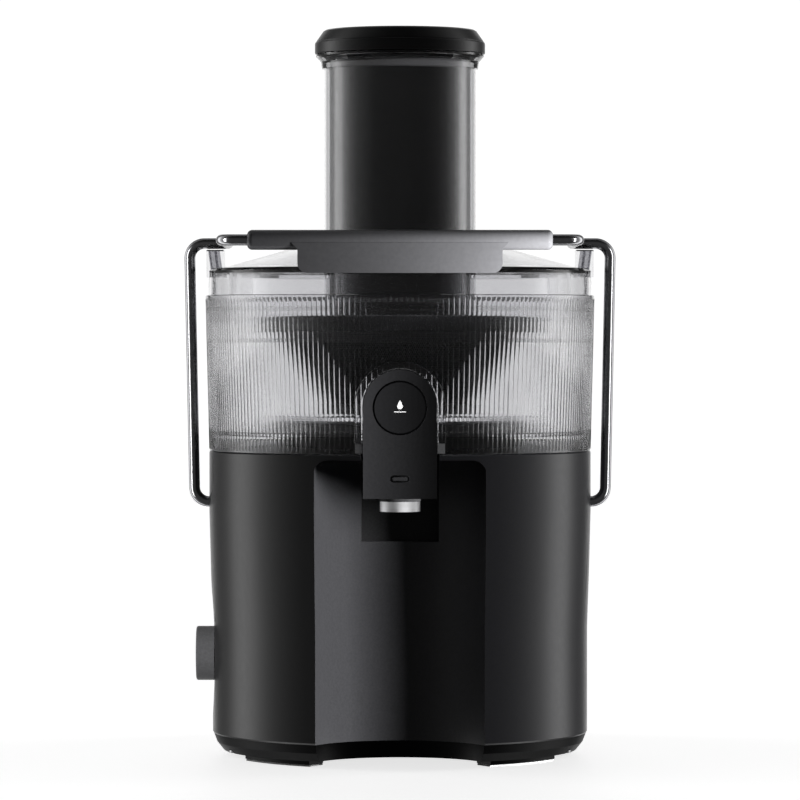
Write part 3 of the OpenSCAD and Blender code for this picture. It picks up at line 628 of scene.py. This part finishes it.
def studio():
    w = bpy.data.worlds.new("studio")
    scene.world = w
    w.use_nodes = True
    nt = w.node_tree
    nt.nodes.clear()
    out = nt.nodes.new("ShaderNodeOutputWorld")
    lp = nt.nodes.new("ShaderNodeLightPath")
    mix = nt.nodes.new("ShaderNodeMixShader")
    white = nt.nodes.new("ShaderNodeBackground")
    white.inputs[0].default_value = (1, 1, 1, 1)
    white.inputs[1].default_value = 1.05
    soft = nt.nodes.new("ShaderNodeBackground")
    tc = nt.nodes.new("ShaderNodeTexCoord")
    sep = nt.nodes.new("ShaderNodeSeparateXYZ")
    nt.links.new(tc.outputs["Generated"], sep.inputs[0])
    neg = nt.nodes.new("ShaderNodeMath"); neg.operation = "MULTIPLY"; neg.inputs[1].default_value = -1
    nt.links.new(sep.outputs[1], neg.inputs[0])
    at = nt.nodes.new("ShaderNodeMath"); at.operation = "ARCTAN2"
    nt.links.new(sep.outputs[0], at.inputs[0])
    nt.links.new(neg.outputs[0], at.inputs[1])
    mr = nt.nodes.new("ShaderNodeMapRange")
    mr.inputs["From Min"].default_value = -math.pi
    mr.inputs["From Max"].default_value = math.pi
    nt.links.new(at.outputs[0], mr.inputs["Value"])
    ramp = nt.nodes.new("ShaderNodeValToRGB")
    # azimuth about the front: 0 = behind left, 0.5 = the camera's side, 1 = behind right
    stops = [(-180, 1.0), (-162, 1.0), (-154, 0.2), (-130, 0.2), (-122, 0.7), (-117, 2.1), (-102, 2.0), (-96, 1.0), (-84, 0.55),
             (-70, 0.28), (-55, 0.17), (-40, 0.08), (-20, 0.06), (0, 0.06), (20, 0.05), (40, 0.05), (60, 0.09), (75, 0.2), (90, 0.5),
             (100, 0.9), (107, 2.1), (119, 2.1), (126, 0.35), (132, 0.12), (154, 0.12), (162, 1.0), (180, 1.0)]
    peak = max(v for _, v in stops)
    stops = [(q, v / peak) for q, v in stops]
    el = ramp.color_ramp.elements
    while len(el) > 1:
        el.remove(el[-1])
    for i, (a, v) in enumerate(stops):
        e = el[0] if i == 0 else el.new((a + 180) / 360)
        e.position = (a + 180) / 360
        e.color = (v, v, v, 1)
    nt.links.new(mr.outputs[0], ramp.inputs[0])
    nt.links.new(ramp.outputs[0], soft.inputs[0])
    high = nt.nodes.new("ShaderNodeMapRange")
    for k_, v in (("From Min", 0.30), ("From Max", 0.75), ("To Min", peak), ("To Max", peak * 0.25)):
        high.inputs[k_].default_value = v
    nt.links.new(sep.outputs[2], high.inputs["Value"])
    nt.links.new(high.outputs[0], soft.inputs[1])
    # light that is turned round once inside a clear wall and leaves to the back
    def test(sock, op, v):
        q = nt.nodes.new("ShaderNodeMath"); q.operation = op; q.inputs[1].default_value = v
        nt.links.new(sock, q.inputs[0])
        return q.outputs[0]

    def times(a_, b_):
        q = nt.nodes.new("ShaderNodeMath"); q.operation = "MULTIPLY"
        nt.links.new(a_, q.inputs[0])
        if isinstance(b_, float):
            q.inputs[1].default_value = b_
        else:
            nt.links.new(b_, q.inputs[1])
        return q.outputs[0]
    yz = nt.nodes.new("ShaderNodeMath"); yz.operation = "MAXIMUM"
    nt.links.new(sep.outputs[1], yz.inputs[0])
    nt.links.new(sep.outputs[2], yz.inputs[1])
    turned = times(times(test(lp.outputs["Transmission Depth"], "GREATER_THAN", 0.5), test(lp.outputs["Transmission Depth"], "LESS_THAN", 8.5)),
                   times(times(test(lp.outputs["Glossy Depth"], "LESS_THAN", 3.5), test(lp.outputs["Diffuse Depth"], "LESS_THAN", 0.5)),
                         times(test(yz.outputs[0], "GREATER_THAN", 0.1), 0.45)))
    both = nt.nodes.new("ShaderNodeMath"); both.operation = "MAXIMUM"
    nt.links.new(straight(nt, lp), both.inputs[0])
    nt.links.new(turned, both.inputs[1])
    nt.links.new(both.outputs[0], mix.inputs[0])
    nt.links.new(soft.outputs[0], mix.inputs[1])
    nt.links.new(white.outputs[0], mix.inputs[2])
    nt.links.new(mix.outputs[0], out.inputs[0])

    def area(name, at, look, size, power):
        l = bpy.data.lights.new(name, "AREA")
        l.shape = "RECTANGLE"
        l.size, l.size_y = size
        l.energy = power
        o = bpy.data.objects.new(name, l)
        scene.collection.objects.link(o)
        o.location = at
        o.rotation_mode = "QUATERNION"
        o.rotation_quaternion = (Vector(look) - Vector(at)).to_track_quat("-Z", "Y")
        o.visible_camera = False
        return o

    def polar(az, el, dist, at):
        """A place seen from the point at, az degrees to the right of the camera's side and el degrees up."""
        a, e = math.radians(az), math.radians(el)
        return (at[0] + dist * math.sin(a) * math.cos(e), at[1] - dist * math.cos(a) * math.cos(e), at[2] + dist * math.sin(e))

    def only(light, names):
        col = bpy.data.collections.new("lit_" + light.name)
        for n in names:
            col.objects.link(bpy.data.objects[n])
        light.light_linking.receiver_collection = col

    c = (0, AX, 0.15)
    key = area("key_right", polar(60, 22, 2.2, c), c, (0.7, 0.7), 130)
    key.visible_glossy = False
    key.visible_transmission = False
    lit = [o.name for o in bpy.data.objects if o.type == "MESH" and o.name not in
           ("spout_shell", "drop_button", "grip_plate", "bail_grip", "bail_arm_left", "bail_arm_right", "spout_nozzle",
            "cap_shell", "base_tray", "spout_clips", "pusher_tube")]
    only(key, lit)
    shade = bpy.data.collections.new("shades_key")
    for n in ("motor_shell", "base_tray", "juice_bowl"):
        shade.objects.link(bpy.data.objects[n])
    key.light_linking.blocker_collection = shade
    top = area("top_soft", (0, 0.3, 1.9), c, (1.6, 1.2), 4)
    only(top, [n for n in lit if n not in ("speed_dial", "cap_shell")])
    g = (0, AX - 0.114, 0.272)
    gl = area("grip_light", (0.115, AX - 0.165, 0.245), (0.03, AX - 0.114, 0.272), (0.04, 0.04), 0.78)
    gl.visible_glossy = False
    only(gl, ["grip_plate", "bail_grip"])
    sl = area("spout_light", polar(-80, 4, 0.30, (0, AX - 0.118, 0.18)), (0, AX - 0.118, 0.18), (0.05, 0.2), 3.2)
    sl.visible_glossy = False
    only(sl, ["spout_shell", "drop_button", "status_window", "drop_symbol"])
    wires = ["bail_arm_left", "bail_arm_right", "bail_collars"]
    for side in (-1, 1):
        w = area("wire_light_%d" % side, polar(side * 55, 0, 1.6, (0, AX, 0.2)), (0, AX, 0.2), (0.3, 1.6), 11)
        only(w, wires)
    ff = area("front_card", polar(26, 4, 1.2, c), c, (1.4, 0.9), 7)
    only(ff, ["spout_nozzle", "spout_clips"])
    kf = area("knob_fill", polar(-30, 4, 1.2, (-0.107, AX, 0.056)), (-0.107, AX, 0.056), (0.3, 0.3), 20)
    kf.visible_glossy = False
    only(kf, ["speed_dial"])

    me = bpy.data.meshes.new("floor")
    me.from_pydata([(-6, -4, 0), (6, -4, 0), (6, 8, 0), (-6, 8, 0)], [], [(0, 1, 2, 3)])
    fl = bpy.data.objects.new("floor", me)
    scene.collection.objects.link(fl)
    m, nt, b = tree("floor_pale")
    b.inputs["Base Color"].default_value = (0.9, 0.9, 0.9, 1)
    b.inputs["Roughness"].default_value = 0.6
    b.inputs["Emission Color"].default_value = (1, 1, 1, 1)
    b.inputs["Emission Strength"].default_value = 0.75
    dark = nt.nodes.new("ShaderNodeBsdfDiffuse")
    dark.inputs[0].default_value = (0.05, 0.05, 0.05, 1)
    lp2 = nt.nodes.new("ShaderNodeLightPath")
    mx = nt.nodes.new("ShaderNodeMixShader")
    nt.links.new(straight(nt, lp2), mx.inputs[0])
    nt.links.new(dark.outputs[0], mx.inputs[1])
    nt.links.new(b.outputs[0], mx.inputs[2])
    nt.links.new(mx.outputs[0], [n for n in nt.nodes if n.type == "OUTPUT_MATERIAL"][0].inputs[0])
    me.materials.append(m)
    fl.visible_glossy = False

    cam = bpy.data.cameras.new("camera")
    cam.sensor_width = 36
    cam.lens = 218.25
    cam.clip_start, cam.clip_end = 0.05, 60
    co = bpy.data.objects.new("camera", cam)
    scene.collection.objects.link(co)
    co.location = (0, AX - 2.667, 0.233)
    co.rotation_euler = (math.radians(90 - 0.821), 0, 0)
    scene.camera = co
    scene.view_settings.view_transform = "Standard"
    scene.view_settings.look = "None"
    scene.cycles.max_bounces = 24
    scene.cycles.transmission_bounces = 24
    scene.cycles.glossy_bounces = 8
    scene.cycles.diffuse_bounces = 3
    scene.cycles.transparent_max_bounces = 24
    scene.cycles.caustics_refractive = True
    scene.cycles.caustics_reflective = True


studio()
